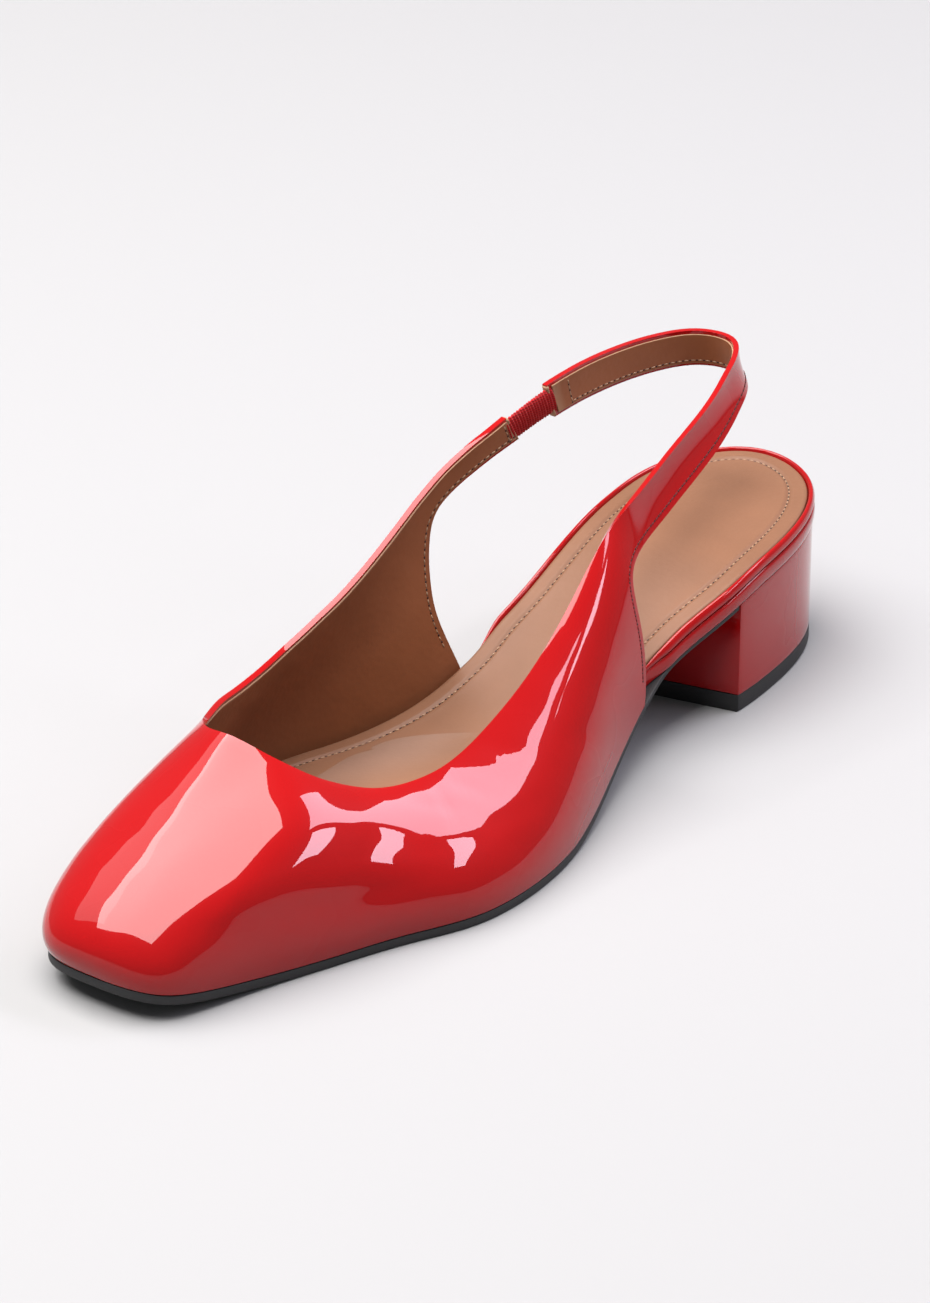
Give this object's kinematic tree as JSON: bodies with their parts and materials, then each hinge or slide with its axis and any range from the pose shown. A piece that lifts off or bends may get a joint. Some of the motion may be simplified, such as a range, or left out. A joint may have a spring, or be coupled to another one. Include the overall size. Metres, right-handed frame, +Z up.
{
  "type": "slingback pump",
  "caption": "Slingback pump with a snipped square toe, low-cut throat, open heel, elastic strap joint and low block heel.",
  "frame": {"origin": "on the floor under the middle of the heel, on the bottom of the heel's top piece", "axes": "+Y to the back of the heel and the toe at -Y, +Z up, +X to the outer (little toe) side of this left shoe"},
  "size_m": [0.0806, 0.2447, 0.071],
  "materials": {
    "patent_leather": "very glossy patent, tan leather lining inside",
    "sock_leather": "smooth satin leather sock, stitched near its edge",
    "elastic_web": "matt gathered elastic with fine cross ribs",
    "rubber_sole": "matt black"
  },
  "bodies": {
    "root": {"upper": "patent_leather", "elastic": "elastic_web", "insole": "sock_leather", "seat_board": "patent_leather", "outsole": "rubber_sole", "heel": "patent_leather", "top_piece": "rubber_sole"}
  },
  "joints": []
}
